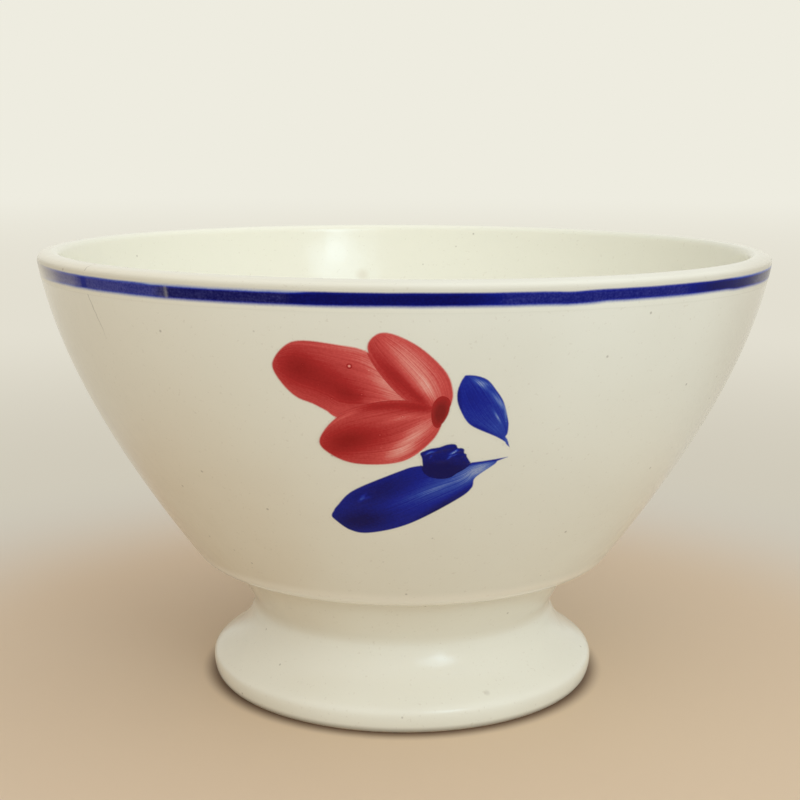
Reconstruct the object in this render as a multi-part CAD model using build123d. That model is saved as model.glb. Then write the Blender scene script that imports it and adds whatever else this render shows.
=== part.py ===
from build123d import *
import math
import os

# Footed latte bowl of glazed earthenware with a brush-painted flower, in millimetres.
# +Z points up, the origin is the centre of the resting ring on the table,
# and the painted flower faces -Y. Every profile is drawn as (radius, height).

# Bowl: one thrown shell with a full-round lip and a flat seat for the foot underneath
bowl_height = 91.1        # table to the top of the lip
rim_radius = 75.0         # outside of the lip
lip_thickness = 4.4       # the lip is a full round of this thickness
lip_slope = 80.0          # degrees from level, where the wall meets the lip
lip_pull = 0.38           # share of the wall's chord over which that slope holds
turn_slope = 54.0         # degrees from level, where the wall turns under
turn_pull = 0.16          # share of the wall's chord over which that slope holds
turn_rounding = 1.2       # soft corner where the wall turns under
wall_thickness = 5.6      # wall just above the turn
floor_rounding = 22.0     # sweep of the inside from the wall into the level floor
underside_reach = 7.2     # from the edge of the seat out to the turn
underside_rise = 2.2      # from the seat up to the turn

# Foot: a hollow flared ring, thrown by itself
neck_radius = 32.0        # outside of the neck at the crease, its narrowest
neck_height = 8.1         # crease to the top of the neck
neck_spread = 4.3         # how much the neck widens towards the bowl
neck_wall = 7.5
flare_reach = 9.2         # from the neck out to the widest part of the foot
flare_height = 12.1       # widest part up to the crease under the neck
flare_slope = 85.5        # degrees from level, where the flare leaves the crease
flare_pull = 0.55         # share of the flare's chord over which that slope holds
bulge_pull = 0.12         # the same, for the upright side at the widest part
bulge_height = 4.1        # table to the widest part
edge_reach = 2.0          # how far the rounded edge draws in below the widest part
ring_width = 5.0          # flat bare ring that rests on the table
ring_easing = 1.2         # rounding inside the resting ring

# Luting slip: the ring of liquid clay that joins the foot to the bowl
slip_thickness = 0.6
slip_bead = 0.3           # how far the wiped bead stands out of the joint

# Painted colour: thin strokes of ceramic colour on the outside of the wall
colour_thickness = 0.2
colour_gap = 0.02         # keeps the strokes just clear of the wall
rim_line_drop = 1.35      # top of the lip down to the top of the blue line
rim_line_width = 2.4
flower_offset = 6.2       # heart of the flower, to the right of the middle
flower_drop = 22.0        # top of the lip down to the heart of the flower
heart_width = 2.7
heart_height = 5.4
heart_lean = -12.0        # degrees

# Each stroke's outline starts and ends at the tip where the brush was lifted,
# as (right, up) from the heart of the flower.
petal_left_outline = [
    (-0.8, 0.6), (-6.5, 6.0), (-12.0, 10.6), (-17.3, 11.8), (-23.1, 12.3), (-26.0, 11.1), (-28.0, 8.0),
    (-26.8, 5.0), (-24.2, 2.3), (-21.3, 1.2), (-17.4, -0.9), (-8.4, -0.2),
]
petal_top_outline = [
    (-0.3, -0.2), (-5.8, 2.4), (-10.4, 7.6), (-12.1, 11.7), (-9.4, 14.0), (-4.1, 11.9), (0.6, 7.5),
    (2.0, 3.7), (1.5, 0.5),
]
petal_lower_outline = [
    (-0.1, 0.6), (-5.3, 2.4), (-10.9, 2.0), (-17.0, -0.9), (-20.4, -5.4),
    (-18.9, -8.1), (-14.1, -10.0), (-6.4, -9.4), (-1.5, -5.6), (0.4, -1.7),
]
leaf_small_outline = [
    (12.0, -7.1), (11.4, -5.2), (11.3, -2.5), (11.2, 0.0), (9.5, 3.1), (7.6, 5.6), (5.6, 6.6),
    (4.0, 6.6), (2.9, 4.9), (2.7, 3.0), (3.6, -0.4), (6.7, -3.4), (10.7, -5.8),
]
leaf_long_outline = [
    (12.0, -9.0), (5.5, -9.6), (-2.9, -10.1), (-11.8, -13.3), (-17.5, -18.3), (-18.9, -21.2), (-15.7, -24.3),
    (-9.9, -24.2), (-2.3, -21.4), (4.1, -17.0), (6.2, -13.2), (9.8, -10.2),
]
calyx_dab_outline = [
    (5.4, -9.7), (4.3, -7.3), (2.4, -6.1), (-0.6, -6.7), (-3.2, -7.8), (-2.8, -10.3), (-1.0, -12.5),
    (1.4, -12.7), (4.0, -10.9),
]

# Heights and radii that follow from the sizes above
foot_height = bulge_height + flare_height + neck_height
crease_height = bulge_height + flare_height
foot_radius = neck_radius + flare_reach
ring_radius = foot_radius - edge_reach
hollow_radius = neck_radius - neck_wall
seat_radius = neck_radius + neck_spread
seat_height = foot_height + slip_thickness
turn_radius = seat_radius + underside_reach
turn_height = seat_height + underside_rise
flower_height = bowl_height - flower_drop


def slope_direction(degrees):
    return Vector(math.cos(math.radians(degrees)), math.sin(math.radians(degrees)))


def inward_normal(degrees):
    return Vector(-math.sin(math.radians(degrees)), math.cos(math.radians(degrees)))


def turned(profile):
    """A profile face, drawn as (radius, height), turned about the vertical axis."""
    return revolve(Plane.XZ * profile, Axis.Z)


# Where the outer wall starts, at the turn, and the round of the lip that it runs into
wall_foot = Vector(turn_radius, turn_height)
lip_radius = lip_thickness / 2
lip_centre = Vector(rim_radius - lip_radius, bowl_height - lip_radius)


def lip_point(degrees, shift=0):
    """A point of the lip's round, at an angle from level, moved outwards by shift."""
    return lip_centre + slope_direction(degrees) * (lip_radius + shift)


def lip_arc(start_degrees, end_degrees, shift=0):
    middle_degrees = (start_degrees + end_degrees) / 2
    return ThreePointArc(
        lip_point(start_degrees, shift), lip_point(middle_degrees, shift), lip_point(end_degrees, shift)
    )


# Angles on the lip's round where the outer wall, the crown and the inner wall meet it
lip_outer = lip_slope - 90
lip_crown = lip_slope
lip_inner = lip_slope + 90


def wall_curve(foot_shift, top_shift):
    """The wall's curve, moved inwards by foot_shift at the turn and by top_shift at the lip."""
    start = wall_foot + inward_normal(turn_slope) * foot_shift
    end = lip_point(lip_outer) + inward_normal(lip_slope) * top_shift
    chord = (lip_point(lip_outer) - wall_foot).length
    start_handle = start + slope_direction(turn_slope) * chord * turn_pull
    end_handle = end - slope_direction(lip_slope) * chord * lip_pull
    return Bezier(start, start_handle, end_handle, end)


def make_bowl_body():
    outer_wall = wall_curve(0, 0)
    inner_wall = wall_curve(wall_thickness, lip_thickness)
    lip = [lip_arc(lip_outer, lip_crown), lip_arc(lip_crown, lip_inner)]
    floor_edge = inner_wall @ 0
    floor_and_underside = Polyline(
        floor_edge,
        (0, floor_edge.Y),
        (0, seat_height),
        (seat_radius, seat_height),
        outer_wall @ 0,
    )
    profile = make_face([outer_wall, *lip, inner_wall, floor_and_underside])
    floor_corner = profile.vertices().sort_by_distance(floor_edge)[0]
    profile = fillet(floor_corner, floor_rounding)
    turn = profile.vertices().sort_by_distance((turn_radius, turn_height))[0]
    return turned(fillet(turn, turn_rounding))


def make_pedestal_foot():
    widest = Vector(foot_radius, bulge_height)
    crease = Vector(neck_radius, crease_height)
    chord = (crease - widest).length
    edge = EllipticalCenterArc(
        (ring_radius, bulge_height), edge_reach, bulge_height, start_angle=-90, arc_size=90
    )
    flare = Bezier(
        widest,
        widest + Vector(0, chord * bulge_pull),
        crease + Vector(chord * flare_pull, 0).rotate(Axis.Z, -flare_slope),
        crease,
    )
    neck_and_inside = Polyline(
        crease,
        (seat_radius, foot_height),
        (hollow_radius, foot_height),
        (ring_radius - ring_width, 0),
        (ring_radius, 0),
    )
    profile = make_face([edge, flare, neck_and_inside])
    inner_edge = profile.vertices().sort_by_distance((ring_radius - ring_width, 0))[0]
    return turned(fillet(inner_edge, ring_easing))


def make_luting_slip():
    bead = ThreePointArc(
        (seat_radius, foot_height),
        (seat_radius + slip_bead, foot_height + slip_thickness / 2),
        (seat_radius, seat_height),
    )
    inside = Polyline(
        bead @ 1, (hollow_radius, seat_height), (hollow_radius, foot_height), bead @ 0
    )
    return turned(make_face([bead, inside]))


def make_colour_layer():
    """A thin skin over the wall, from which the strokes of the flower are cut."""
    inner = wall_curve(-colour_gap, -colour_gap)
    outer_shift = colour_gap + colour_thickness
    outer = wall_curve(-outer_shift, -outer_shift)
    ends = [Line(inner @ 0, outer @ 0), Line(inner @ 1, outer @ 1)]
    return turned(make_face([inner, outer, *ends]))


def make_rim_line():
    """A band round the outside of the lip, carried a little way down the wall.

    It is joined from two mirrored halves, so that it is equally even on both sides.
    """
    line_top = bowl_height - rim_line_drop
    line_foot = line_top - rim_line_width
    top_degrees = math.degrees(math.asin((line_top - lip_centre.Y) / lip_radius))
    reach_down_wall = (lip_point(lip_outer).Y - line_foot) / math.sin(math.radians(lip_slope))
    sides = []
    for shift in (colour_gap, colour_gap + colour_thickness):
        on_lip = lip_arc(lip_outer, top_degrees, shift)
        on_wall = Line(on_lip @ 0 - slope_direction(lip_slope) * reach_down_wall, on_lip @ 0)
        sides.append((on_wall, on_lip))
    (inner_wall, inner_lip), (outer_wall, outer_lip) = sides
    foot_edge = Line(inner_wall @ 0, outer_wall @ 0)
    top_edge = Line(inner_lip @ 1, outer_lip @ 1)
    profile = make_face([inner_wall, inner_lip, top_edge, outer_lip, outer_wall, foot_edge])
    back_half = revolve(Plane.XZ * profile, Axis.Z, 180)
    front_half = mirror(back_half, Plane.XZ)
    with BuildPart() as band:
        add(front_half)
        add(back_half, clean=False)
    return band.part


def flower_prism(flat_shape):
    """A flat shape, drawn round the heart of the flower, run out towards -Y past the wall."""
    placed = Plane.XZ * (Pos(flower_offset, flower_height) * flat_shape)
    return extrude(placed, amount=rim_radius * 2)


def stroke_prism(outline):
    return flower_prism(make_face(Spline(*outline, outline[0])))


def make_flower(colour_layer):
    """Every stroke, cut back where a later stroke of the brush covers it."""
    heart = Rotation(0, 0, heart_lean) * Ellipse(heart_width / 2, heart_height / 2)
    prisms = {
        "petal_left": stroke_prism(petal_left_outline),
        "petal_top": stroke_prism(petal_top_outline),
        "petal_lower": stroke_prism(petal_lower_outline),
        "flower_heart": flower_prism(heart),
        "leaf_small": stroke_prism(leaf_small_outline),
        "leaf_long": stroke_prism(leaf_long_outline),
        "calyx_dab": stroke_prism(calyx_dab_outline),
    }
    covered_by = {
        "petal_left": ["petal_top", "petal_lower"],
        "petal_top": ["petal_lower", "flower_heart"],
        "petal_lower": ["flower_heart"],
        "leaf_long": ["calyx_dab"],
    }
    strokes = {}
    for name, prism in prisms.items():
        stroke = colour_layer & prism
        for later in covered_by.get(name, []):
            stroke = stroke - prisms[later]
        strokes[name] = stroke
    return strokes


colour_layer = make_colour_layer()
nodes = {
    "bowl_body": make_bowl_body(),
    "pedestal_foot": make_pedestal_foot(),
    "luting_slip": make_luting_slip(),
    "rim_line": make_rim_line(),
    **make_flower(colour_layer),
}

os.makedirs("parts", exist_ok=True)
for name, solid in nodes.items():
    export_step(solid, f"parts/{name}.step")
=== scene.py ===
import math

import bmesh
import bpy
import numpy as np
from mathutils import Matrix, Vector


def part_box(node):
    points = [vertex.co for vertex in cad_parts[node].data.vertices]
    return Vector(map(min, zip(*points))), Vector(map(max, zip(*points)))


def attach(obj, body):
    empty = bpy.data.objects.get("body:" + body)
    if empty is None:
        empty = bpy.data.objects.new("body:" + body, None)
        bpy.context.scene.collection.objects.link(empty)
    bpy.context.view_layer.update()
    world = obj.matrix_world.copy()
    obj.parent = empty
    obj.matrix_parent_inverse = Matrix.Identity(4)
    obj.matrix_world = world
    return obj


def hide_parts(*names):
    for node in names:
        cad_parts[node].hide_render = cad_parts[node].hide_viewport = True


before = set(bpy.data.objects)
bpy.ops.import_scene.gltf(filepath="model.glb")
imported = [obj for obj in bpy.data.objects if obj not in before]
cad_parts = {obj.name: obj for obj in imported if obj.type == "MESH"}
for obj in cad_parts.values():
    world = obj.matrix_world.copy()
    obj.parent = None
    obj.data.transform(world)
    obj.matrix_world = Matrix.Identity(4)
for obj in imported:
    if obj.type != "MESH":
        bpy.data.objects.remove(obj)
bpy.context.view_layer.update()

# Bowl body: one shell of white earthenware, turned on a wheel, with a thick rounded lip
# and a soft corner where the wall turns under to the foot. A clear cream glaze covers
# it all over, with iron specks and one hairline at the rim; painted shade darkens it low
# down, at the left and on the lip's outer face, and painted light whitens it inside.
mm = 0.001
bowl_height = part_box("bowl_body")[1].z
seat_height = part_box("bowl_body")[0].z
rim_radius = 75.0 * mm
lip_thickness = 4.4 * mm
lip_squareness = 3.0
lip_rise = 0.35 * mm
lip_slope = 80.0
lip_pull = 0.38
turn_radius = 43.5 * mm
turn_height = seat_height + 1.9 * mm
turn_slope = 54.0
turn_pull = 0.16
turn_softness = 2.2 * mm
wall_thickness = 5.6 * mm
floor_softness = 11.0 * mm
seat_radius = 36.3 * mm
unevenness = 0.07 * mm
axis_gap = 0.01 * mm
points_around = 288


def direction(degrees):
    return Vector((math.cos(math.radians(degrees)), math.sin(math.radians(degrees))))


def curve(start, start_handle, end_handle, end, steps):
    """Points of a cubic curve, both ends included."""
    points = []
    for step in range(steps + 1):
        t = step / steps
        s = 1 - t
        points.append(s**3 * start + 3 * s * s * t * start_handle + 3 * s * t * t * end_handle + t**3 * end)
    return points


def arc(centre, radius, from_degrees, to_degrees, steps):
    return [
        centre + direction(from_degrees + (to_degrees - from_degrees) * step / steps) * radius
        for step in range(steps + 1)
    ]


def soft_corner(before, corner, after, reach, steps):
    """A rounded corner that leaves each side at a distance of reach from the corner."""
    start = corner + (before - corner).normalized() * reach
    end = corner + (after - corner).normalized() * reach
    return curve(start, start.lerp(corner, 2 / 3), end.lerp(corner, 2 / 3), end, steps)


def uneven(angle, height):
    """How far the clay, trued by hand, stands off a perfect circle."""
    waves = np.sin(2 * angle + 0.6) + 0.6 * np.sin(3 * angle - 1.1)
    return unevenness * waves * height / bowl_height


def lathe(name, profile, closed):
    """A mesh of quads, from (radius, height) points turned about the vertical axis."""
    vertices = []
    for radius, height in profile:
        for step in range(points_around):
            angle = math.tau * step / points_around
            reach = max(radius + uneven(angle, height) * min(1, radius / turn_radius), axis_gap)
            vertices.append((reach * math.sin(angle), -reach * math.cos(angle), height))
    spans = len(profile) if closed else len(profile) - 1
    faces = []
    for span in range(spans):
        low = span * points_around
        high = (span + 1) % len(profile) * points_around
        for step in range(points_around):
            following = (step + 1) % points_around
            faces.append((low + step, low + following, high + following, high + step))
    if not closed:
        last = (len(profile) - 1) * points_around
        faces.append(tuple(reversed(range(points_around))))
        faces.append(tuple(range(last, last + points_around)))
    mesh = bpy.data.meshes.new(name)
    mesh.from_pydata(vertices, [], faces)
    mesh.shade_smooth()
    mesh.set_sharp_from_angle(angle=math.radians(50))
    piece = bpy.data.objects.new(name, mesh)
    bpy.context.collection.objects.link(piece)
    return piece


lip_radius = lip_thickness / 2
lip_centre = Vector((rim_radius - lip_radius, bowl_height + lip_rise - lip_radius))
wall_foot = Vector((turn_radius, turn_height))
wall_top = lip_centre + direction(lip_slope - 90) * lip_radius
wall_chord = (wall_top - wall_foot).length


def wall_curve(foot_shift, top_shift, steps):
    """The wall's curve from the turn to the lip, moved inwards by the two shifts."""
    start = wall_foot + direction(turn_slope + 90) * foot_shift
    end = wall_top + direction(lip_slope + 90) * top_shift
    start_handle = start + direction(turn_slope) * wall_chord * turn_pull
    end_handle = end - direction(lip_slope) * wall_chord * lip_pull
    return curve(start, start_handle, end_handle, end, steps)


def lip_curve(steps):
    """The lip from the outer wall over to the inner one, squarer than a half circle."""
    points = []
    for step in range(steps + 1):
        turn = math.pi * step / steps
        outward = math.copysign(abs(math.cos(turn)) ** (2 / lip_squareness), math.cos(turn))
        upward = math.sin(turn) ** (2 / lip_squareness)
        offset = direction(lip_slope - 90) * outward + direction(lip_slope) * upward
        points.append(lip_centre + offset * lip_radius)
    return points


def clear_of(points, corner, reach):
    """The points of a side that a soft corner leaves in place."""
    return [point for point in points if (point - corner).length > reach * 1.05]


outer_wall = wall_curve(0, 0, 56)
inner_wall = wall_curve(wall_thickness, lip_thickness, 48)
lip = lip_curve(28)
seat_edge = Vector((seat_radius, seat_height))
floor_corner = inner_wall[0]
floor_centre = Vector((0, floor_corner.y))
bowl_profile = (
    [Vector((0, seat_height)), Vector((seat_radius * 0.5, seat_height)), seat_edge]
    + soft_corner(seat_edge, wall_foot, outer_wall[3], turn_softness, 8)
    + clear_of(outer_wall, wall_foot, turn_softness)
    + lip[1:-1]
    + clear_of(reversed(inner_wall), floor_corner, floor_softness)
    + soft_corner(inner_wall[8], floor_corner, floor_centre, floor_softness, 14)
    + [floor_centre.lerp(floor_corner, 0.4), floor_centre]
)
bowl = lathe("bowl", bowl_profile, closed=False)
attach(bowl, "root")
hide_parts("bowl_body")


def colour(red, green, blue):
    """A colour written in the usual 0 to 255 steps, as the linear value that a shader takes."""
    steps = [value / 255 for value in (red, green, blue)]
    linear = [s / 12.92 if s <= 0.04045 else ((s + 0.055) / 1.055) ** 2.4 for s in steps]
    return (*linear, 1.0)


def add(tree, kind, inputs=None, **settings):
    """A shader node with its settings; an input is given a value or linked to an output."""
    made = tree.nodes.new("ShaderNode" + kind)
    for name, value in settings.items():
        setattr(made, name, value)
    for name, value in (inputs or {}).items():
        if isinstance(value, bpy.types.NodeSocket):
            tree.links.new(value, made.inputs[name])
        else:
            made.inputs[name].default_value = value
    return made


def calculate(tree, operation, *values):
    return add(tree, "Math", dict(enumerate(values)), operation=operation).outputs[0]


def between(tree, value, low, high):
    """0 at low and 1 at high, with a smooth rise in between."""
    limits = {"Value": value, "From Min": low, "From Max": high}
    return add(tree, "MapRange", limits, interpolation_type="SMOOTHSTEP").outputs["Result"]


def band(tree, value, start, full, ease, end):
    """1 from full to ease, fading smoothly to 0 at start below and at end above."""
    return calculate(tree, "MULTIPLY", between(tree, value, start, full), between(tree, value, end, ease))


def blend(tree, share, first, second):
    """A colour that goes from first to second as share goes from 0 to 1."""
    return add(tree, "Mix", {0: share, 6: first, 7: second}, data_type="RGBA").outputs[2]


def tint(tree, base, mask, strength, tone):
    """The base colour, drawn towards a tone by strength where the mask is 1."""
    return blend(tree, calculate(tree, "MULTIPLY", mask, strength), base, tone)


def cloud(tree, place, scale, detail=2.0):
    """Soft noise from 0 to 1, with this many features to the unit."""
    return add(tree, "TexNoise", {"Vector": place, "Scale": scale, "Detail": detail}).outputs["Fac"]


def distance_to(tree, place, point):
    return add(tree, "VectorMath", {0: place, 1: point}, operation="DISTANCE").outputs["Value"]


def angle_round(tree, place):
    """Degrees round the bowl from the front, growing to the right."""
    axes = add(tree, "SeparateXYZ", {0: place}).outputs
    forward = calculate(tree, "MULTIPLY", axes["Y"], -1.0)
    return calculate(tree, "DEGREES", calculate(tree, "ARCTAN2", axes["X"], forward))


def facing_out(tree, place):
    """1 where the surface faces straight away from the bowl's axis, -1 where it faces the axis."""
    normal = add(tree, "NewGeometry").outputs["Normal"]
    level = add(tree, "VectorMath", {0: place, 1: (1.0, 1.0, 0.0)}, operation="MULTIPLY").outputs[0]
    outward = add(tree, "VectorMath", {0: level}, operation="NORMALIZE").outputs[0]
    return add(tree, "VectorMath", {0: outward, 1: normal}, operation="DOT_PRODUCT").outputs["Value"]


glaze_white = colour(240, 239, 223)
glaze_cream = colour(236, 234, 217)
painted_left_shade = colour(238, 228, 203)
painted_right_reflection = colour(212, 203, 182)
painted_inside_light = colour(245, 244, 226)
painted_lip_shade = colour(158, 142, 112)
painted_turn_light = colour(255, 246, 228)
painted_lower_shade_brown = colour(216, 191, 154)
speck_brown = colour(124, 106, 80)
dust_brown = colour(168, 148, 112)
# Heights at which the painted lip shade, the painted light on the turn and the painted lower shade start,
# are full, ease and end.
lip_shade_heights = (87.6 * mm, 89.4 * mm, 90.0 * mm, 91.3 * mm)
turn_light_heights = (24.4 * mm, 25.4 * mm, 28.0 * mm, 30.5 * mm)
lower_shade_heights = (13.0 * mm, 19.0 * mm, 30.0 * mm, 84.0 * mm)


def make_cream_glaze():
    """Colour, roughness and slow waves of the cream glaze.

    Painted light whitens the faces towards the axis and the turn; painted shade darkens the
    lip's outer face and, in patches, the lower wall, most at the left; a painted dark reflection
    greys the far right.
    """
    group = bpy.data.node_groups.new("cream_glaze", "ShaderNodeTree")
    for name, kind in (("Colour", "Color"), ("Roughness", "Float"), ("Height", "Float")):
        group.interface.new_socket(name, in_out="OUTPUT", socket_type="NodeSocket" + kind)
    place = add(group, "TexCoord").outputs["Object"]
    axes = add(group, "SeparateXYZ", {0: place}).outputs

    mottle = between(group, cloud(group, place, 22), 0.35, 0.65)
    leftness = between(group, axes["X"], 20 * mm, -60 * mm)
    rightness = between(group, axes["X"], 50 * mm, 72 * mm)
    outer = blend(group, mottle, glaze_white, glaze_cream)
    # Painted shade: the left side is warmer and darker.
    outer = tint(group, outer, leftness, 0.75, painted_left_shade)
    # Painted dark reflection at the far right of the wall.
    outer = tint(group, outer, rightness, 0.6, painted_right_reflection)
    outward = facing_out(group, place)
    # Painted light: the faces towards the axis, inside the bowl, are whiter.
    cream = blend(group, between(group, outward, 0.45, -0.2), outer, painted_inside_light)
    # Painted shade on the outer face of the lip, below its top.
    lip_shade_band = band(group, axes["Z"], *lip_shade_heights)
    lip_shade_band = calculate(group, "MULTIPLY", lip_shade_band, between(group, outward, 0.35, 0.9))
    cream = tint(group, cream, lip_shade_band, 0.28, painted_lip_shade)
    # Painted light: a paler band along the turn of the wall, which also takes away the painted lower shade
    # there.
    turn_light_band = band(group, axes["Z"], *turn_light_heights)
    cream = tint(group, cream, turn_light_band, 0.5, painted_turn_light)

    # Painted shade on the lower wall, patchy and most at the left, lifted along the turn.
    patches = between(group, cloud(group, place, 30, 4), 0.25, 0.75)
    lower_shade = band(group, axes["Z"], *lower_shade_heights)
    for share, gain, least in ((leftness, 0.46, 0.12), (patches, 0.5, 0.5), (turn_light_band, -0.8, 1.0)):
        depth = calculate(group, "MULTIPLY_ADD", share, gain, least)
        lower_shade = calculate(group, "MULTIPLY", lower_shade, depth)
    lower_shaded = blend(group, lower_shade, cream, painted_lower_shade_brown)

    specks = add(group, "TexVoronoi", {"Vector": place, "Scale": 240.0})
    lot = add(group, "SeparateColor", {0: specks.outputs["Color"]}).outputs[0]
    chosen = calculate(group, "LESS_THAN", lot, 0.34)
    dots = calculate(group, "MULTIPLY", between(group, specks.outputs["Distance"], 0.085, 0.03), chosen)
    specked = tint(group, lower_shaded, dots, 0.42, speck_brown)
    dust = between(group, cloud(group, place, 1500, 1), 0.66, 0.8)
    finished = tint(group, specked, dust, 0.14, dust_brown)

    ripples = calculate(group, "MULTIPLY_ADD", cloud(group, place, 190), 0.7, cloud(group, place, 70))
    peel = calculate(group, "MULTIPLY_ADD", cloud(group, place, 900), 0.05, ripples)
    shine = calculate(group, "MULTIPLY_ADD", cloud(group, place, 90, 3), 0.1, 0.09)
    end = group.nodes.new("NodeGroupOutput")
    group.links.new(finished, end.inputs["Colour"])
    group.links.new(shine, end.inputs["Roughness"])
    group.links.new(peel, end.inputs["Height"])
    return group


cream_glaze = make_cream_glaze()
glaze_waves = 0.1 * mm


def new_material(name):
    """An empty material with the cream glaze placed in it."""
    material = bpy.data.materials.new(name)
    material.use_nodes = True
    tree = material.node_tree
    tree.nodes.clear()
    glaze = tree.nodes.new("ShaderNodeGroup")
    glaze.node_tree = cream_glaze
    place = add(tree, "TexCoord").outputs["Object"]
    return material, tree, glaze.outputs, place


def fire(tree, base, roughness, height, gloss=0.5):
    """The glossy skin that every fired surface of the bowl ends in."""
    bump = add(tree, "Bump", {"Height": height, "Distance": glaze_waves, "Strength": 1.0})
    skin = {"Base Color": base, "Roughness": roughness, "Specular IOR Level": gloss}
    shader = add(tree, "BsdfPrincipled", {**skin, "Normal": bump.outputs[0]})
    end = add(tree, "OutputMaterial")
    tree.links.new(shader.outputs[0], end.inputs["Surface"])


hairline_angle = -49.2
hairline_top = 88.0 * mm
hairline_foot = 79.0 * mm
hairline_lean = 1.7
hairline_brown = colour(128, 112, 92)
rim_mark = Vector((34.3, -65.7, 90.6)) * mm
rim_mark_brown = colour(112, 84, 48)
inside_stain = Vector((-10.8, 67.2, 78.9)) * mm
inside_stain_brown = colour(190, 164, 120)


def make_bowl_glaze():
    material, tree, glaze, place = new_material("bowl_glaze")
    height = add(tree, "SeparateXYZ", {0: place}).outputs["Z"]
    run = between(tree, height, hairline_top, hairline_foot)
    wander = calculate(tree, "MULTIPLY_ADD", cloud(tree, place, 500), 0.8, -0.4)
    middle = calculate(tree, "MULTIPLY_ADD", run, hairline_lean, hairline_angle)
    aside = calculate(tree, "SUBTRACT", angle_round(tree, place), calculate(tree, "ADD", middle, wander))
    line = between(tree, calculate(tree, "ABSOLUTE", aside), 0.16, 0.05)
    opened = between(tree, height, hairline_foot - 2 * mm, hairline_foot + 4 * mm)
    line = calculate(tree, "MULTIPLY", line, opened)
    tone = tint(tree, glaze["Colour"], line, 0.4, hairline_brown)
    mark = between(tree, distance_to(tree, place, rim_mark), 0.35 * mm, 0.15 * mm)
    tone = tint(tree, tone, mark, 0.8, rim_mark_brown)
    soaked = between(tree, distance_to(tree, place, inside_stain), 2.4 * mm, 0.2 * mm)
    tone = tint(tree, tone, soaked, 0.25, inside_stain_brown)
    fire(tree, tone, glaze["Roughness"], glaze["Height"])
    return material


bowl.data.materials.append(make_bowl_glaze())

# Pedestal foot: a hollow flared ring of the same earthenware, thrown by itself, with a
# straight neck and a rounded edge. The cream glaze covers it, with painted shade in the crease
# under the neck and low on the edge; the flat ring that it rests on was wiped bare before firing.
foot_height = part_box("pedestal_foot")[1].z
foot_radius = 41.2 * mm
neck_radius = 32.0 * mm
crease_height = 16.2 * mm
crease_softness = 1.6 * mm
neck_wall = 7.5 * mm
flare_slope = 85.5
flare_pull = 0.55
bulge_height = 4.1 * mm
bulge_pull = 0.12
edge_reach = 1.3 * mm
ring_width = 5.0 * mm
ring_softness = 0.9 * mm
edge_easing = 12


def softened(points, passes):
    """A line of points drawn towards the middle of their neighbours, with both ends held."""
    for _ in range(passes):
        eased = [
            before * 0.25 + point * 0.5 + after * 0.25
            for before, point, after in zip(points, points[1:], points[2:])
        ]
        points = [points[0], *eased, points[-1]]
    return points


neck_top = Vector((seat_radius, foot_height))
crease = Vector((neck_radius, crease_height))
widest = Vector((foot_radius, bulge_height))
flare_chord = (crease - widest).length
flare = curve(
    crease,
    crease + direction(-flare_slope) * flare_chord * flare_pull,
    widest + Vector((0, flare_chord * bulge_pull)),
    widest,
    28,
)
edge = [
    Vector((foot_radius - edge_reach + edge_reach * point.x, bulge_height + bulge_height * point.y))
    for point in arc(Vector((0, 0)), 1, 0, -90, 16)
]
ring_inside = Vector((foot_radius - edge_reach - ring_width, 0))
hollow_top = Vector((neck_radius - neck_wall, foot_height))
foot_profile = (
    [hollow_top, neck_top, neck_top.lerp(crease, 0.3), neck_top.lerp(crease, 0.6)]
    + soft_corner(neck_top, crease, flare[3], crease_softness, 6)
    + clear_of(softened(flare + edge[1:], edge_easing), crease, crease_softness)
    + soft_corner(edge[-1], ring_inside, hollow_top, ring_softness, 6)
    + [ring_inside.lerp(hollow_top, 0.35), ring_inside.lerp(hollow_top, 0.7)]
)
foot = lathe("foot", foot_profile[::-1], closed=True)
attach(foot, "root")
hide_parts("pedestal_foot")
foot_specks = [Vector((-20.3, -32.5, 7.8)) * mm, Vector((16.9, -35.3, 6.8)) * mm]
foot_speck_brown = colour(120, 104, 80)
crease_shade_cream = colour(204, 194, 160)
foot_low_shade_brown = colour(120, 98, 72)
clay_dark = colour(206, 184, 152)
clay_pale = colour(222, 204, 176)


def make_foot_glaze():
    material, tree, glaze, place = new_material("foot_glaze")
    height = add(tree, "SeparateXYZ", {0: place}).outputs["Z"]
    off_crease = calculate(tree, "ABSOLUTE", calculate(tree, "SUBTRACT", height, crease_height))
    # Painted shade in the crease under the neck.
    crease_shade = between(tree, off_crease, 1.6 * mm, 0.2 * mm)
    tone = tint(tree, glaze["Colour"], crease_shade, 0.08, crease_shade_cream)
    for point in foot_specks:
        speck = between(tree, distance_to(tree, place, point), 1.1 * mm, 0.3 * mm)
        tone = tint(tree, tone, speck, 0.28, foot_speck_brown)
    # Painted shade low on the foot's edge, just above the table.
    foot_low_shade = between(tree, height, 1.7 * mm, 0.3 * mm)
    tone = tint(tree, tone, foot_low_shade, 0.5, foot_low_shade_brown)
    ragged = calculate(tree, "MULTIPLY_ADD", cloud(tree, place, 300), 0.5 * mm, height)
    bare = between(tree, ragged, 0.55 * mm, 0.3 * mm)
    grain = between(tree, cloud(tree, place, 900, 4), 0.3, 0.7)
    tone = blend(tree, bare, tone, blend(tree, grain, clay_dark, clay_pale))
    roughness = calculate(tree, "MULTIPLY_ADD", bare, 0.75, glaze["Roughness"])
    fire(tree, tone, roughness, glaze["Height"])
    return material


foot.data.materials.append(make_foot_glaze())

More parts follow.
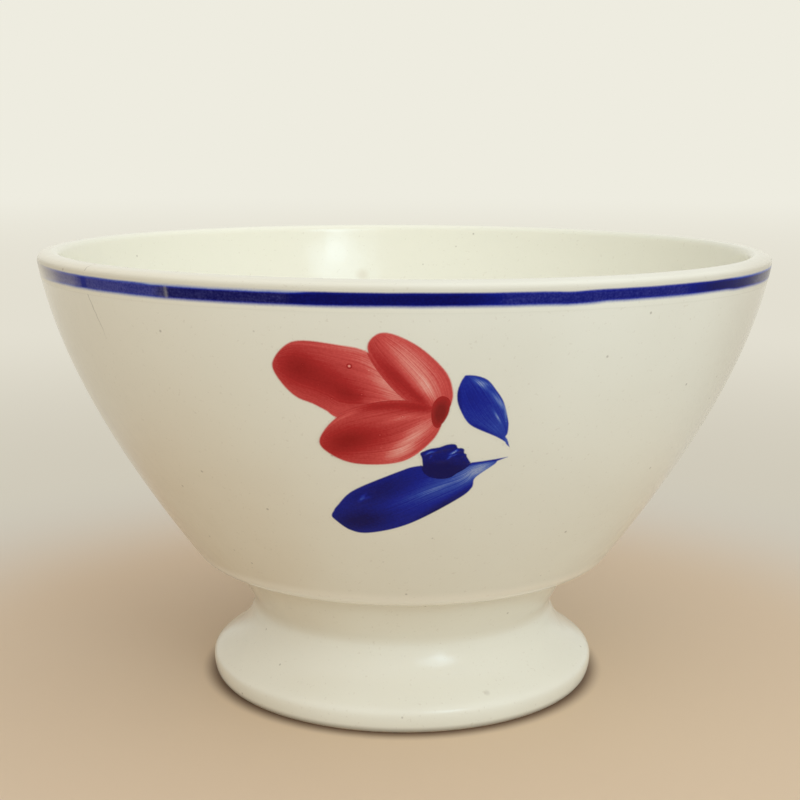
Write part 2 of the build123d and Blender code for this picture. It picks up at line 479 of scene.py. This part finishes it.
# Luting slip: the thin ring of liquid clay that joins the foot to the bowl. It was wiped
# to a small bead with a finger and disappeared under the glaze.
slip_bead = 0.3 * mm
slip_middle = (foot_height + seat_height) / 2
slip_thickness = seat_height - foot_height
bead = [
    Vector((seat_radius + slip_bead * point.x, slip_middle + slip_thickness / 2 * point.y))
    for point in arc(Vector((0, 0)), 1, -90, 90, 8)
]
slip_inside = [Vector((hollow_top.x, seat_height)), Vector((hollow_top.x, foot_height))]
slip = lathe("luting_bead", bead + slip_inside, closed=True)
slip.data.materials.append(bowl.data.materials[0])
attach(slip, "root")
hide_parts("luting_slip")

# Rim line: a line of cobalt blue laid round the outside of the lip with a loaded brush while
# the bowl turned. Its two ends overlap at the front right, and the brush ran thin at the left.
outside = np.array(outer_wall + lip[1:15])
outside_lean = np.gradient(outside[:, 0], outside[:, 1])


def on_wall(angle, height, lift):
    """Points on the outside of the bowl, at angles from the front, stood off by lift."""
    radius = np.interp(height, outside[:, 1], outside[:, 0]) + uneven(angle, height)
    lean = np.interp(height, outside[:, 1], outside_lean)
    outward = np.stack([np.sin(angle), -np.cos(angle), -lean], axis=-1)
    outward /= np.linalg.norm(outward, axis=-1, keepdims=True)
    surface = np.stack([radius * np.sin(angle), -radius * np.cos(angle), height], axis=-1)
    return surface + outward * np.expand_dims(lift, -1)


def paint_shell(name, outer, inner, measures, around):
    """A closed thin shell between two grids of points, with measures kept on its points.

    Rows run along the stroke of the brush and columns across it; around joins the last row
    to the first. The map named stroke goes from 0 to 1 along and across.
    """
    rows, columns = outer.shape[:2]
    under = rows * columns
    vertices = np.concatenate([outer.reshape(-1, 3), inner.reshape(-1, 3)]).tolist()
    faces = []
    for row in range(rows if around else rows - 1):
        here = row * columns
        there = (row + 1) % rows * columns
        for column in range(columns - 1):
            corners = (here + column, here + column + 1, there + column + 1, there + column)
            faces.append(corners)
            faces.append(tuple(under + corner for corner in reversed(corners)))
        for column in (0, columns - 1):
            faces.append((here + column, there + column, under + there + column, under + here + column))
    if not around:
        for row in (0, rows - 1):
            for column in range(columns - 1):
                left = row * columns + column
                faces.append((left, left + 1, under + left + 1, under + left))
    mesh = bpy.data.meshes.new(name)
    mesh.from_pydata(vertices, [], faces)
    shape = bmesh.new()
    shape.from_mesh(mesh)
    bmesh.ops.recalc_face_normals(shape, faces=shape.faces)
    shape.to_mesh(mesh)
    shape.free()
    mesh.shade_smooth()
    mesh.set_sharp_from_angle(angle=math.radians(60))
    for measure, values in measures.items():
        kept = mesh.attributes.new(measure, "FLOAT", "POINT")
        kept.data.foreach_set("value", np.tile(np.ravel(values), 2).astype(np.float32))
    stroke_map = mesh.uv_layers.new(name="stroke")
    for loop in mesh.loops:
        point = loop.vertex_index % under
        stroke_map.data[loop.index].uv = (point // columns / rows, point % columns / (columns - 1))
    piece = bpy.data.objects.new(name, mesh)
    bpy.context.collection.objects.link(piece)
    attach(piece, "root")
    return piece


def make_pigment(name, tones, streaks, streak_depth, soft_edge, gloss, bubbles=()):
    """Fired colour that thins to bare glaze: tones go from the thinnest wash to the fullest load.

    streaks says how finely the brush's hairs part the colour, along and across the stroke.
    A bubble, given by its place, radius and strength, has a full ring round a pale middle.
    """
    material, tree, glaze, place = new_material(name)
    load = add(tree, "Attribute", attribute_name="load").outputs["Fac"]
    edge = add(tree, "Attribute", attribute_name="edge").outputs["Fac"]
    stroke_map = add(tree, "UVMap", uv_map="stroke").outputs["UV"]
    drawn = add(tree, "VectorMath", {0: stroke_map, 1: (*streaks, 1.0)}, operation="MULTIPLY").outputs[0]
    hairs = calculate(tree, "SUBTRACT", cloud(tree, drawn, 1.0, 4), 0.5)
    grain = calculate(tree, "SUBTRACT", cloud(tree, place, 2600, 2), 0.5)
    thinness = calculate(tree, "MAXIMUM", calculate(tree, "SUBTRACT", 0.95, load), 0.06)
    parted = calculate(tree, "MULTIPLY", calculate(tree, "MULTIPLY", hairs, thinness), streak_depth)
    total = calculate(tree, "ADD", parted, calculate(tree, "MULTIPLY_ADD", grain, 0.16, load))
    pinholes = add(tree, "TexVoronoi", {"Vector": place, "Scale": 520.0})
    lot = add(tree, "SeparateColor", {0: pinholes.outputs["Color"]}).outputs[0]
    chosen = calculate(tree, "MULTIPLY", calculate(tree, "LESS_THAN", lot, 0.13), -0.16)
    pricks = between(tree, pinholes.outputs["Distance"], 0.1, 0.04)
    total = calculate(tree, "MULTIPLY_ADD", pricks, chosen, total)
    for point, radius, strength in bubbles:
        away = calculate(tree, "DIVIDE", distance_to(tree, place, point), radius)
        off_ring = calculate(tree, "ABSOLUTE", calculate(tree, "SUBTRACT", away, 0.8))
        total = calculate(tree, "MULTIPLY_ADD", between(tree, off_ring, 0.35, 0.05), 0.22 * strength, total)
        total = calculate(tree, "MULTIPLY_ADD", between(tree, away, 0.6, 0.2), -0.45 * strength, total)
    ramp = add(tree, "ValToRGB", {0: total})
    stops = ramp.color_ramp.elements
    while len(stops) < len(tones):
        stops.new(0.5)
    for index, tone in enumerate(tones):
        stops[index].position = index / (len(tones) - 1)
        stops[index].color = tone
    roughened = calculate(tree, "MULTIPLY_ADD", hairs, 0.6, grain)
    ragged = calculate(tree, "MULTIPLY_ADD", roughened, soft_edge * 0.35, edge)
    cover = between(tree, ragged, -soft_edge, soft_edge)
    tone = blend(tree, cover, glaze["Colour"], ramp.outputs["Color"])
    fire(tree, tone, glaze["Roughness"], glaze["Height"], gloss)
    return material


blue_tones = [
    colour(170, 180, 204), colour(100, 124, 190), colour(50, 76, 172),
    colour(19, 34, 148), colour(10, 9, 84),
]
rim_line_top = 89.66 * mm
rim_line_width = 2.36 * mm
rim_press = 0.12 * mm
rim_thinning = 0.2 * mm
rim_dry_drop = 0.06 * mm
rim_margin = 0.8 * mm
rim_columns = 28
rim_rows = 1440
rim_lift = 0.04 * mm
rim_fringe = 0.55 * mm
rim_softness = 0.42
rim_top_crispness = 2.2
overlap_angle = 21.5
overlap_sag = 0.13 * mm
thin_angle = -49.6
break_angle = -32.3
right_fade_angle = 51.5
rim_load = 0.98
rim_foot_paling = 0.45
# Stretches of the line, in degrees from the front: the start, the full effect, its easing, the end.
pale_left = (-90, -70, -38, -33)
pressed = (-57, -50, -12, 2)
dry = (-38, -34, -15, -11)
pale_right = (6, 14, 41, 47)
worn_right = (8, 13, 40, 46)
thinned = (24, 27, 50, 53)


def rise(value, low, high):
    """0 at low and 1 at high, with a smooth rise in between."""
    t = np.clip((value - low) / (high - low), 0, 1)
    return t * t * (3 - 2 * t)


def stretch(value, start, full, ease, end):
    """1 from full to ease, fading smoothly to 0 at start below and at end above."""
    return rise(value, start, full) * rise(value, end, ease)


def dip(value, middle, reach):
    """1 at middle, falling smoothly to 0 a few reaches away."""
    return np.exp(-(((value - middle) / reach) ** 2))


def rim_wear(degrees):
    """How far the brush's hairs parted and left bare glaze, at each angle round the rim."""
    left_of_break = rise(degrees, break_angle + 0.4, break_angle - 0.8)
    left_end = rise(degrees, thin_angle - 0.4, thin_angle - 4)
    far_left = 0.25 * rise(degrees, -55, -64) + 0.25 * rise(degrees, -62, -70)
    right_end = rise(degrees, right_fade_angle, right_fade_angle + 3)
    far_right = rise(degrees, 55, 64)
    wear = 0.49 * left_of_break + 0.15 * left_end + far_left + 0.38 * right_end + 0.2 * far_right
    wear += 0.42 * rise(degrees, -11, -15) * (1 - left_of_break) + 0.42 * stretch(degrees, *worn_right)
    wear += 0.25 * dip(degrees, break_angle, 0.3) - 0.2 * dip(degrees, thin_angle, 0.6)
    return wear * rise(np.abs(degrees), 130, 95)


def rim_top_fade(degrees):
    """How much the upper edge of the line pales, at each angle round the rim."""
    fade = 0.18 + 0.62 * stretch(degrees, *dry) + 0.25 * stretch(degrees, *pale_left)
    return fade + 0.04 * dip(degrees, overlap_angle + 0.5, 2.4) + 0.6 * rise(degrees, 49, 54)


def make_rim_line():
    degrees = np.linspace(-180, 180, rim_rows, endpoint=False)[:, None]
    angle = np.radians(degrees)
    flutter = 0.025 * mm * (np.sin(11 * angle + 1) + np.sin(29 * angle) + 0.6 * np.sin(61 * angle))
    sagging = rim_line_top - overlap_sag * dip(degrees, overlap_angle, 2.4)
    top = sagging - rim_dry_drop * stretch(degrees, *dry) + flutter / 2
    press = rim_press * stretch(degrees, *pressed)
    thinning = rim_thinning * stretch(degrees, *thinned)
    bottom = sagging - rim_line_width - press + thinning - flutter / 2
    lowest = rim_line_top - rim_line_width - rim_press - rim_margin
    heights = np.linspace(lowest, rim_line_top + rim_margin, rim_columns)[None, :]
    upper_edge = rise(heights, top - rim_fringe, top)
    lower_edge = rise(heights, bottom + rim_fringe, bottom)
    loads = rim_load - 0.1 * stretch(degrees, *pale_right)
    loads = loads - 0.14 * rise(degrees, break_angle, break_angle - 3)
    loads = loads - rim_top_fade(degrees) * upper_edge - rim_foot_paling * lower_edge
    crispness = rim_top_crispness - (rim_top_crispness - 1) * stretch(degrees, *dry)
    edges = np.minimum((top - heights) * crispness, heights - bottom) / mm
    edges = np.minimum(edges, rim_softness * (1.7 - 2 * rim_wear(degrees)))
    angles, heights = np.broadcast_arrays(angle, heights)
    lift = np.full(angles.shape, rim_lift)
    outer = on_wall(angles, heights, lift)
    inner = on_wall(angles, heights, lift / 3)
    return paint_shell("rim_line_paint", outer, inner, {"load": loads, "edge": edges}, around=True)


rim_line = make_rim_line()
rim_blue = make_pigment(
    "rim_blue", blue_tones, streaks=(90.0, 6.0), streak_depth=0.6, soft_edge=rim_softness, gloss=0.05
)
rim_line.data.materials.append(rim_blue)
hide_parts("rim_line")

# Flower: three petals in red, each one press of a full round brush drawn in to the heart, with
# a dark dab where they meet. The colour is thin, so it pools and pales within each stroke.
# Places on the flower are in mm, to the right of and up from its heart.
flower_offset = 6.2 * mm
flower_height = bowl_height - 22.0 * mm
stroke_rows = 96
stroke_columns = 56
bleed = 0.2


def smooth_outline(points, steps):
    """A smooth closed curve through the points, sharp at the first one."""
    first = points[0]
    held = [Vector(point) for point in (first, *points, first, first)]
    outline = []
    for before, start, end, after in zip(held, held[1:], held[2:], held[3:]):
        for step in range(steps):
            t = step / steps
            outline.append(
                0.5 * (
                    2 * start
                    + (end - before) * t
                    + (2 * before - 5 * start + 4 * end - after) * t**2
                    + (3 * start - before - 3 * end + after) * t**3
                )
            )
    return np.array(outline)


def widened(outline, by):
    """The outline moved outwards by a small distance all along."""
    following, previous = np.roll(outline, -1, axis=0), np.roll(outline, 1, axis=0)
    runs = following - previous
    outward = np.stack([runs[:, 1], -runs[:, 0]], axis=1)
    outward /= np.linalg.norm(outward, axis=1, keepdims=True)
    turn = (outline[:, 0] * following[:, 1] - outline[:, 1] * following[:, 0]).sum()
    return outline + outward * math.copysign(by, turn)


def inside_distance(points, outline):
    """How far each point lies inside an outline, negative outside it."""
    starts, ends = outline, np.roll(outline, -1, axis=0)
    runs = ends - starts
    lengths = np.maximum((runs**2).sum(1), 1e-12)
    offsets = points[:, None, :] - starts[None]
    shares = np.clip((offsets * runs).sum(2) / lengths, 0, 1)
    nearest = np.sqrt(((offsets - shares[..., None] * runs) ** 2).sum(2)).min(1)
    crosses = (starts[:, 1] > points[:, None, 1]) != (ends[:, 1] > points[:, None, 1])
    rise_share = (points[:, None, 1] - starts[:, 1]) / np.where(runs[:, 1] == 0, 1e-12, runs[:, 1])
    left_of = points[:, None, 0] < starts[:, 0] + rise_share * runs[:, 0]
    inside = (crosses & left_of).sum(1) % 2 == 1
    return np.where(inside, nearest, -nearest)


def along_side(side, shares):
    """Points at even shares of a side's length."""
    lengths = np.concatenate([[0], np.cumsum(np.linalg.norm(np.diff(side, axis=0), axis=1))])
    return np.stack([np.interp(shares * lengths[-1], lengths, side[:, axis]) for axis in (0, 1)], axis=1)


def stroke_grid(outline):
    """Points of a stroke from its tip to its blunt end, in rows across the stroke."""
    reach = np.linalg.norm(outline - outline[0], axis=1)
    blunt = int(reach.argmax())
    shares = 0.5 - 0.5 * np.cos(np.linspace(0.02, 0.98, stroke_rows) * math.pi)
    one_side = along_side(outline[: blunt + 1], shares)
    other_side = along_side(np.concatenate([outline[blunt:], outline[:1]])[::-1], shares)
    across = np.linspace(0, 1, stroke_columns)[None, :, None]
    return one_side[:, None, :] * (1 - across) + other_side[:, None, :] * across


def soft_ovals(points, ovals):
    """The sum of soft ovals, each given by its middle, half length, half width, lean and height."""
    total = np.zeros(len(points))
    for right, up, half_length, half_width, lean, height in ovals:
        along = direction(lean)
        offsets = points - np.array((right, up))
        lengthways = (offsets[:, 0] * along.x + offsets[:, 1] * along.y) / half_length
        crossways = (offsets[:, 1] * along.x - offsets[:, 0] * along.y) / half_width
        total += height * np.exp(-(lengthways**2) - crossways**2)
    return total


def flower_place(right, up, lift):
    """Points on the wall, from places on the flower."""
    height = flower_height + up * mm
    radius = np.interp(height, outside[:, 1], outside[:, 0])
    return on_wall(np.arcsin((flower_offset + right * mm) / radius), height, lift)


def paint_stroke(name, outline, neighbours, lift, base, washes, swell=0.0, lumps=()):
    """One stroke on the wall; its edge stays full where a neighbour's colour lies beside it.

    base is its load of colour, which washes make fuller or thinner.
    swell and lumps, in mm, are its relief.
    """
    grid = stroke_grid(widened(outline, bleed))
    flat = grid.reshape(-1, 2)
    own_edge = inside_distance(flat, outline)
    edge = np.max([own_edge, *(inside_distance(flat, other) for other in neighbours)], axis=0)
    relief = (swell * rise(own_edge, 0, 1.6) + soft_ovals(flat, lumps) * rise(own_edge, 0, 0.5)) * mm
    load = base + soft_ovals(flat, washes)
    right, up = flat[:, 0], flat[:, 1]
    outer = flower_place(right, up, lift + relief)
    inner = flower_place(right, up, np.full(len(flat), lift / 2))
    shape = (stroke_rows, stroke_columns, 3)
    measures = {"load": load, "edge": edge}
    return paint_shell(name, outer.reshape(shape), inner.reshape(shape), measures, around=False)


petal_left_outline = smooth_outline([
    (-0.8, 0.6), (-6.5, 6.0), (-12.0, 10.6), (-17.3, 11.8), (-23.1, 12.3), (-26.0, 11.1), (-28.0, 8.0),
    (-26.8, 5.0), (-24.2, 2.3), (-21.3, 1.1), (-19.2, 0.0), (-16.6, -1.3), (-8.4, -0.2),
], 10)
petal_top_outline = smooth_outline([
    (-0.3, -0.2), (-5.8, 2.4), (-10.4, 7.6), (-12.1, 11.7), (-9.4, 14.0), (-4.1, 11.9), (0.6, 7.5),
    (2.0, 3.7), (1.6, 1.0), (0.4, -1.2),
], 12)
petal_lower_outline = smooth_outline([
    (-0.1, 0.4), (-5.3, 1.9), (-10.9, 1.5), (-17.0, -0.9), (-20.4, -5.4),
    (-18.9, -8.1), (-14.1, -10.0), (-6.4, -9.4), (-1.5, -5.6), (0.4, -1.7),
], 12)
heart_half_width = 1.35
heart_half_height = 2.75
heart_lean = 78.0
heart_taper = 0.22
heart_outline = np.array([
    direction(heart_lean) * heart_half_height * math.cos(turn)
    + direction(heart_lean + 90) * heart_half_width * math.sin(turn) * (1 + heart_taper * math.cos(turn))
    for turn in np.linspace(0, math.tau, 80, endpoint=False)
])
petal_outlines = [petal_left_outline, petal_top_outline, petal_lower_outline]
red_tones = [
    colour(244, 190, 174), colour(232, 140, 127), colour(211, 83, 77),
    colour(177, 41, 40), colour(140, 17, 16),
]
bubbles = [
    (flower_place(right, up, 0.05 * mm), radius * mm, strength)
    for right, up, radius, strength in (
        (-15.1, 8.1, 0.5, 1.0), (-22.8, 8.1, 0.25, 0.4), (-20.3, 4.6, 0.22, 0.4), (-18.1, 2.2, 0.25, 0.4),
        (-13.1, 3.1, 0.3, 0.4), (-10.1, -4.3, 0.3, 0.4), (-6.3, -0.8, 0.28, 0.4),
    )
]
petal_red = make_pigment(
    "petal_red", red_tones, streaks=(3.5, 44.0), streak_depth=1.2, soft_edge=0.2, gloss=0.15,
    bubbles=bubbles,
)
petals = {
    "petal_left": paint_stroke(
        "petal_left_paint", petal_left_outline, petal_outlines, lift=0.03 * mm, base=0.54, washes=[
            (-19.5, 5.6, 7.0, 3.4, -24, 0.3), (-24.5, 7.8, 3.5, 3.2, 40, 0.2),
            (-14.8, 2.6, 3.0, 1.6, -25, 0.18), (-8.6, 5.4, 4.6, 2.0, -55, -0.28),
            (-14.0, 11.2, 5.0, 1.1, -14, -0.15), (-10.0, 1.2, 5.0, 1.2, 8, -0.1),
        ],
    ),
    "petal_top": paint_stroke(
        "petal_top_paint", petal_top_outline, petal_outlines, lift=0.06 * mm, base=0.56, washes=[
            (-7.2, 6.2, 6.0, 1.5, -46, 0.3), (-3.2, 2.4, 2.2, 1.0, -40, 0.15),
            (-4.8, 8.2, 5.2, 2.1, -54, -0.28), (-2.2, 4.2, 2.8, 1.1, -62, -0.26),
            (-10.8, 12.2, 1.6, 1.2, 30, 0.05),
        ],
    ),
    "petal_lower": paint_stroke(
        "petal_lower_paint", petal_lower_outline, petal_outlines, lift=0.09 * mm, base=0.6, washes=[
            (-16.4, -5.8, 4.2, 2.6, 20, 0.26), (-12.0, -4.8, 5.0, 2.4, 15, 0.16),
            (-9.0, 1.1, 7.0, 1.0, 2, 0.2), (-3.0, 0.6, 2.6, 0.9, -8, 0.15),
            (-4.2, -4.2, 4.6, 1.4, 42, -0.34), (-6.6, -7.6, 2.8, 1.2, 24, -0.26),
            (-6.4, -1.0, 4.0, 0.6, 9, -0.14), (-15.5, -0.6, 3.0, 0.6, 35, -0.1),
        ],
    ),
}
for node, petal in petals.items():
    petal.data.materials.append(petal_red)
    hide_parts(node)

heart_tones = [*red_tones[:4], colour(134, 30, 28)]
heart = paint_stroke(
    "flower_heart_paint", heart_outline, petal_outlines, lift=0.12 * mm, base=0.68,
    washes=[(0.0, 0.0, 2.7, 1.45, heart_lean, 0.38)], swell=0.02,
)
heart_red = make_pigment(
    "heart_red", heart_tones, streaks=(3.0, 9.0), streak_depth=0.3, soft_edge=0.15, gloss=0.15
)
heart.data.materials.append(heart_red)
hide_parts("flower_heart")

# Leaves: a small and a long stroke of cobalt blue, drawn out to hair-thin tips, and a thick
# dab where the flower would join its stem. They were laid on after the petals, with more colour.
leaf_small_outline = smooth_outline([
    (12.0, -7.1), (11.55, -5.6), (11.2, -5.0), (11.5, -4.4), (11.6, -3.2), (11.5, -1.9), (10.6, 1.5),
    (9.3, 3.7), (7.8, 5.6), (6.1, 6.4), (4.2, 6.6), (3.7, 6.2), (3.1, 5.0), (2.7, 3.4), (2.9, 1.4),
    (4.1, -1.3), (5.6, -2.9), (9.3, -4.8), (11.0, -5.9), (11.4, -6.5),
], 8)
leaf_long_outline = smooth_outline([
    (11.9, -9.0), (5.4, -9.8), (-3.0, -10.2), (-6.9, -11.4), (-14.7, -15.4), (-17.7, -18.8), (-18.4, -20.0),
    (-18.8, -21.0), (-18.3, -21.9), (-15.5, -24.1), (-11.9, -24.5), (-5.1, -22.4), (3.4, -17.2),
    (5.8, -14.9), (6.3, -12.9), (9.6, -10.3), (10.0, -9.75),
], 10)
calyx_outline = smooth_outline([
    (5.4, -9.8), (4.7, -8.6), (4.6, -8.1), (4.2, -7.8), (4.2, -7.2), (3.8, -6.85), (3.1, -6.8), (2.8, -6.2),
    (2.1, -6.0), (1.1, -6.15), (-0.1, -6.6), (-1.5, -6.85), (-2.6, -7.3), (-3.3, -7.8), (-3.0, -8.8),
    (-2.75, -10.9), (-2.1, -11.9), (-1.0, -12.5), (0.7, -12.7), (2.0, -12.4), (2.9, -11.7), (4.2, -10.9),
], 8)
leaf_blue = make_pigment(
    "leaf_blue", blue_tones, streaks=(4.0, 46.0), streak_depth=1.9, soft_edge=0.15, gloss=0.14
)
leaves = {
    "leaf_small": paint_stroke(
        "leaf_small_paint", leaf_small_outline, [], lift=0.04 * mm, base=0.69, washes=[
            (3.0, 2.2, 4.0, 0.5, 97, 0.15), (6.5, -3.2, 4.5, 0.5, -27, 0.12),
            (5.2, 2.6, 3.0, 1.8, -60, 0.1), (6.5, 5.0, 1.5, 0.38, -40, -0.5),
            (7.3, 5.1, 1.0, 0.28, -35, -0.35), (9.4, 2.2, 1.6, 0.42, -52, -0.42),
            (10.2, 1.0, 1.0, 0.35, -60, -0.3), (11.0, -0.6, 1.3, 0.22, -80, -0.5),
            (9.6, -1.1, 1.2, 0.22, -60, -0.42), (9.6, -3.6, 2.0, 1.2, -45, -0.1),
            (11.5, -5.8, 0.8, 0.5, -60, -0.3),
        ], swell=0.03,
    ),
    "leaf_long": paint_stroke(
        "leaf_long_paint", leaf_long_outline, [calyx_outline], lift=0.04 * mm, base=0.8, washes=[
            (-13.5, -21.8, 5.5, 2.4, 10, 0.22), (0.0, -19.4, 8.0, 1.0, 38, 0.2),
            (-10.2, -15.4, 6.0, 2.4, 24, 0.14), (-4.5, -16.8, 5.0, 1.8, 22, -0.1),
            (7.0, -11.1, 3.6, 1.6, 32, -0.64), (1.5, -13.8, 5.0, 2.2, 26, -0.24),
            (-1.0, -15.2, 3.0, 0.5, 24, -0.2), (8.2, -9.65, 3.0, 0.35, 9, 0.42),
            # At (-13.3, -16.9) and (-12.6, -16.9) the thinner colour is a painted highlight on the blister.
            (8.0, -11.75, 2.2, 0.25, 37, 0.3), (-13.3, -16.9, 0.8, 0.3, 55, -0.35),
            (-12.6, -16.9, 0.9, 0.25, 20, -0.15), (11.6, -9.1, 1.2, 0.5, 15, -0.3),
        ], swell=0.04, lumps=[(-13.2, -17.0, 1.3, 0.8, 35, 0.14)],
    ),
    "calyx_dab": paint_stroke(
        "calyx_dab_paint", calyx_outline, [leaf_long_outline], lift=0.1 * mm, base=0.9, washes=[
            # After the first wash, each small thin patch is a painted glint: a highlight on the thick
            # paint.
            (0.8, -11.3, 4.6, 1.9, -5, 0.16), (-1.9, -7.6, 0.6, 0.15, 30, -0.5),
            (-1.2, -7.4, 0.5, 0.12, 20, -0.4), (2.2, -7.7, 0.6, 0.16, 25, -0.65),
            (2.7, -7.3, 0.5, 0.13, 35, -0.55), (1.8, -8.3, 0.4, 0.13, 30, -0.45),
            (1.5, -8.7, 0.35, 0.12, 30, -0.4), (2.6, -8.1, 0.45, 0.12, 25, -0.4),
            (-1.5, -8.3, 0.4, 0.14, 60, -0.25),
        ], swell=0.05, lumps=[
            (-2.1, -7.7, 0.8, 0.3, 30, 0.16), (-0.7, -7.3, 1.1, 0.3, 20, 0.16),
            (1.3, -6.7, 1.3, 0.4, 12, 0.2), (3.4, -7.3, 0.8, 0.3, 5, 0.18),
            (2.3, -7.7, 0.9, 0.22, 28, 0.14), (3.9, -8.3, 0.6, 0.25, 10, 0.16),
            (1.7, -8.5, 0.8, 0.22, 30, 0.12), (-1.4, -8.4, 0.9, 0.25, 60, 0.12),
            (0.5, -9.0, 2.6, 0.6, 8, 0.1), (4.3, -9.3, 0.8, 0.25, -55, 0.12),
        ],
    ),
}
for node, leaf in leaves.items():
    leaf.data.materials.append(leaf_blue)
    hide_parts(node)

# Table and light: a plain pale floor that fades into the background, with a painted shadow
# close round the foot, with even light from all round and a soft window of three panes at the
# front right, which is brightest in its middle.
background = colour(238, 236, 224)
table_near = colour(224, 201, 171)
table_far = colour(214, 209, 200)
horizon = colour(207, 201, 185)
haze = colour(227, 223, 209)
table_bounce = colour(214, 202, 184)
table_shade = colour(96, 68, 46)
table_radius = 4.0
fade_start = 0.09
fade_end = 0.2
haze_start = 0.15
haze_end = 0.6
backdrop_end = 2.5
shade_start = 44.2 * mm
shade_end = 40.1 * mm


def seen_directly(tree):
    """1 for what the camera sees, straight or by reflection, and 0 for what only gives light."""
    path = add(tree, "LightPath").outputs
    seen = calculate(tree, "MAXIMUM", path["Is Camera Ray"], path["Is Glossy Ray"])
    return calculate(tree, "MAXIMUM", seen, path["Is Transmission Ray"])


def make_table():
    mesh = bpy.data.meshes.new("table")
    shape = bmesh.new()
    bmesh.ops.create_circle(shape, cap_ends=True, segments=96, radius=table_radius)
    shape.to_mesh(mesh)
    shape.free()
    table = bpy.data.objects.new("table", mesh)
    bpy.context.collection.objects.link(table)
    material = bpy.data.materials.new("pale_table")
    material.use_nodes = True
    tree = material.node_tree
    tree.nodes.clear()
    place = add(tree, "TexCoord").outputs["Object"]
    away = distance_to(tree, place, (0.0, 0.0, 0.0))
    far = between(tree, away, fade_start, fade_end)
    seen = seen_directly(tree)
    # Painted shadow: the table darkens close round the foot, where the camera sees it.
    shaded = tint(tree, table_near, between(tree, away, shade_start, shade_end), 0.85, table_shade)
    tone = blend(tree, far, blend(tree, seen, table_bounce, shaded), table_far)
    surface = add(tree, "BsdfPrincipled", {"Base Color": tone, "Roughness": 0.7})
    backdrop = blend(tree, between(tree, away, haze_start, haze_end), horizon, haze)
    backdrop = blend(tree, between(tree, away, haze_end, backdrop_end), backdrop, background)
    glow = add(tree, "Emission", {"Color": backdrop, "Strength": 1.0})
    share = calculate(tree, "MULTIPLY", far, seen)
    mixed = add(tree, "MixShader", {0: share, 1: surface.outputs[0], 2: glow.outputs[0]})
    end = add(tree, "OutputMaterial")
    tree.links.new(mixed.outputs[0], end.inputs["Surface"])
    mesh.materials.append(material)


make_table()


def towards(azimuth, elevation):
    """The way to a light, from its degrees to the right of the front and its degrees up."""
    level = math.cos(math.radians(elevation))
    sideways = math.sin(math.radians(azimuth)) * level
    forward = math.cos(math.radians(azimuth)) * level
    return Vector((sideways, -forward, math.sin(math.radians(elevation))))


light_bright = (1.142, 1.118, 1.108, 1.0)
light_dim = (0.29, 0.295, 0.305, 1.0)
light_way = towards(21.0, 46.0)
world = bpy.data.worlds.new("soft_room")
bpy.context.scene.world = world
world.use_nodes = True
room = world.node_tree
room.nodes.clear()
looking = add(room, "TexCoord").outputs["Generated"]
facing = add(room, "VectorMath", {0: looking, 1: light_way}, operation="DOT_PRODUCT").outputs["Value"]
room_light = blend(room, between(room, facing, -0.3, 1.0), light_dim, light_bright)
sky = add(room, "Background", {"Color": blend(room, seen_directly(room), room_light, background)})
room_end = add(room, "OutputWorld")
room.links.new(sky.outputs[0], room_end.inputs["Surface"])

window_distance = 1.3
window_blue = (0.6, 0.82, 1.0)
panes = [
    {"azimuth": 26.2, "elevation": 31.0, "width": 0.36, "height": 0.56, "energy": 1.25},
    {"azimuth": 28.5, "elevation": 27.5, "width": 0.18, "height": 0.2, "energy": 0.28},
    {"azimuth": 14.5, "elevation": 31.0, "width": 0.14, "height": 0.56, "energy": 0.22},
    {"azimuth": 37.0, "elevation": 31.0, "width": 0.16, "height": 0.34, "energy": 0.33},
]
for pane in panes:
    glass = bpy.data.lights.new("window_pane", "AREA")
    glass.shape = "ELLIPSE"
    glass.size = pane["width"]
    glass.size_y = pane["height"]
    glass.energy = pane["energy"]
    glass.color = window_blue
    pane_object = bpy.data.objects.new("window_pane", glass)
    bpy.context.collection.objects.link(pane_object)
    pane_way = towards(pane["azimuth"], pane["elevation"])
    pane_object.location = pane_way * window_distance
    pane_object.rotation_euler = pane_way.to_track_quat("Z", "Y").to_euler()

# Camera: a little above the rim and close to the bowl, as the photograph was taken.
camera_pitch = 10.391
camera_roll = -0.27
camera_turn = 0.185
camera = bpy.data.cameras.new("camera")
camera.sensor_width = 36.0
camera.lens = 65.25
camera.clip_start = 0.01
camera_object = bpy.data.objects.new("camera", camera)
bpy.context.collection.objects.link(camera_object)
camera_object.location = (0.0, -0.3059, 0.1146)
camera_turns = (90 - camera_pitch, camera_roll, camera_turn)
camera_object.rotation_euler = [math.radians(turn) for turn in camera_turns]
bpy.context.scene.camera = camera_object
bpy.context.scene.view_settings.view_transform = "Standard"
